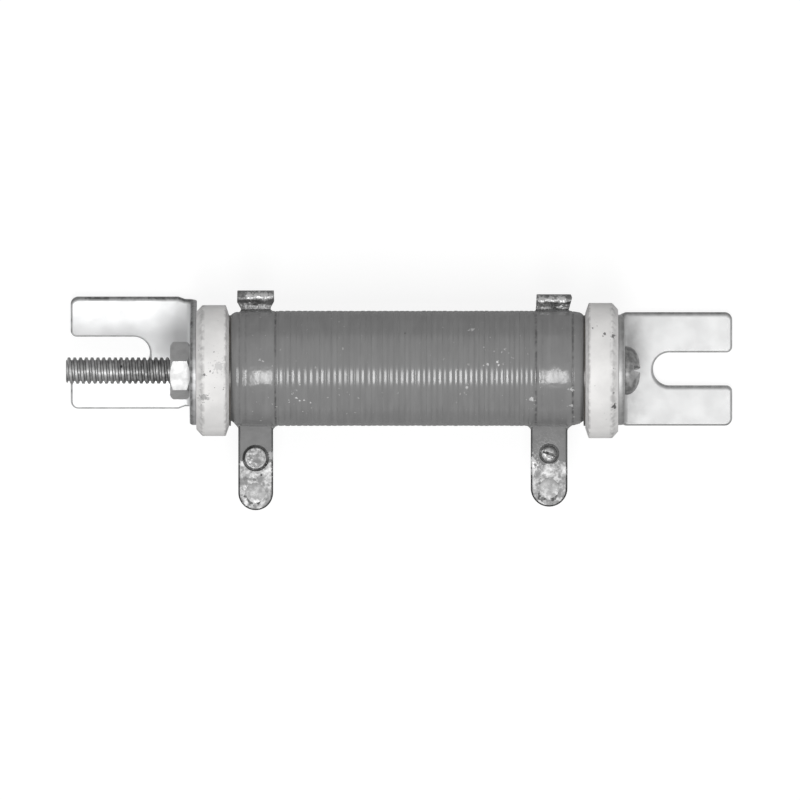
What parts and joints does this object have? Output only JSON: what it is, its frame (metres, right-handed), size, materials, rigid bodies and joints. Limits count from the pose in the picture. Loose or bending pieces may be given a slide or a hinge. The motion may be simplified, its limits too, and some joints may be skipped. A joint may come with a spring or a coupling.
{
  "type": "tubular wirewound braking resistor",
  "caption": "Vitreous-enamelled tubular power resistor with strip terminals, ceramic end washers, a through-bolt and slotted feet.",
  "frame": {"origin": "on the mounting surface, under the bolt axis and half way along the ceramic tube", "axes": "+X along the tube toward the bolt head, +Y away from the terminal lugs, +Z away from the mounting surface"},
  "size_m": [0.1218, 0.0402, 0.0328],
  "materials": {
    "white_ceramic": "satin",
    "tube_ceramic": "matte",
    "grey_enamel": "satin",
    "resistance_wire": "satin",
    "tinned_strip": "satin",
    "solder": "satin",
    "plated_rivet": "satin",
    "zinc_plate": "satin",
    "steel_thread": "satin",
    "mica": "satin"
  },
  "bodies": {
    "root": {"ceramic_core": "tube_ceramic", "resistance_winding": "resistance_wire", "enamel_coat": "grey_enamel", "terminal_left": "tinned_strip", "terminal_right": "tinned_strip", "lug_rivet_left": "plated_rivet", "lug_screw_right": "plated_rivet", "lug_nut_right": "plated_rivet", "solder_fill_left": "solder", "solder_fill_right": "solder", "mica_washer_left": "mica", "mica_washer_right": "mica", "end_washer_left": "white_ceramic", "end_washer_right": "white_ceramic", "bracket_left": "zinc_plate", "bracket_right": "zinc_plate", "through_bolt": "steel_thread", "hex_nut": "zinc_plate"}
  },
  "joints": []
}
